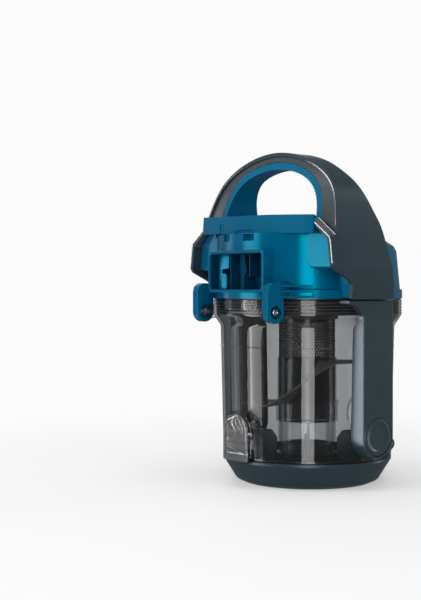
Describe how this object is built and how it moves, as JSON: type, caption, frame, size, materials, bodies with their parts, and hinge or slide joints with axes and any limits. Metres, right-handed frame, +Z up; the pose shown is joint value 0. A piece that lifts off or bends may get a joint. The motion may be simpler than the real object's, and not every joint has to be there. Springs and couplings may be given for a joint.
{
  "type": "vacuum cleaner dust container",
  "caption": "Cyclone dust container of a canister vacuum cleaner: clear bin, drop-open lid and filter head with an arched carry handle.",
  "frame": {"origin": "centre of the bounding box's bottom face, which is on the bin's axis in the plane the lid stands on", "axes": "+Z up along the bin's axis, -Y the front with the release lever and the air outlet, +X to the right seen from the front"},
  "size_m": [0.1664, 0.1624, 0.2572],
  "materials": {
    "slate_plastic": "satin",
    "gunmetal_plastic": "gloss",
    "blue_plastic": "satin",
    "clear_plastic": "clear, slightly smoky",
    "dark_plastic": "satin",
    "rubber": "matt",
    "steel": "bright",
    "silver_trim": "bright",
    "filter_paper": "matt pleated fibre",
    "foam": "open-cell foam"
  },
  "bodies": {
    "bin": {"dust_bin": "clear_plastic", "inlet_port": "clear_plastic", "bin_gasket": "rubber", "side_rail_right": "slate_plastic", "side_rail_left": "slate_plastic", "rail_cap_right": "slate_plastic", "rail_cap_left": "slate_plastic", "rail_screw_right": "steel", "rail_screw_left": "steel", "insert_plate": "dark_plastic", "shroud_tube": "dark_plastic", "swirl_ramp": "clear_plastic", "standpipe": "clear_plastic", "lid_hinge_pin": "steel", "lever_pin": "steel", "lever_spring": "steel"},
    "lid": {"bottom_lid": "slate_plastic", "lid_seal": "rubber", "standpipe_seal": "rubber"},
    "lever": {"release_lever": "clear_plastic"},
    "head": {"filter_housing": "blue_plastic", "top_cover": "blue_plastic", "handle_shell": "slate_plastic", "handle_core": "gunmetal_plastic", "handle_grip": "blue_plastic", "handle_trim_right": "silver_trim", "handle_trim_left": "silver_trim", "head_hinge_pin_right": "steel", "head_hinge_pin_left": "steel", "filter_frame": "dark_plastic", "foam_filter": "foam", "pleated_filter": "filter_paper", "filter_end_cap": "dark_plastic", "housing_seal": "rubber", "latch_pin": "steel", "latch_spring": "steel"},
    "latch": {"head_latch": "blue_plastic"}
  },
  "joints": [
    {"name": "lid_hinge", "type": "hinge", "parent": "bin", "child": "lid", "pos_m": [0, 0.0755, 0.024], "axis": [1, 0, 0], "range_deg": [0, 95]},
    {"name": "lever_pivot", "type": "hinge", "parent": "bin", "child": "lever", "pos_m": [0, -0.0705, 0.042], "axis": [-1, 0, 0], "range_deg": [0, 8], "stiffness_Nm_per_rad": 0.4, "springref_deg": -6.88, "deforming": ["lever_spring"]},
    {"name": "head_hinge", "type": "hinge", "parent": "bin", "child": "head", "pos_m": [0, -0.0731, 0.134], "axis": [1, 0, 0], "range_deg": [0, 110]},
    {"name": "latch_pivot", "type": "hinge", "parent": "head", "child": "latch", "pos_m": [0, 0.0776, 0.1525], "axis": [1, 0, 0], "range_deg": [0, 12], "stiffness_Nm_per_rad": 0.3, "springref_deg": -8.59, "deforming": ["latch_spring"]}
  ]
}
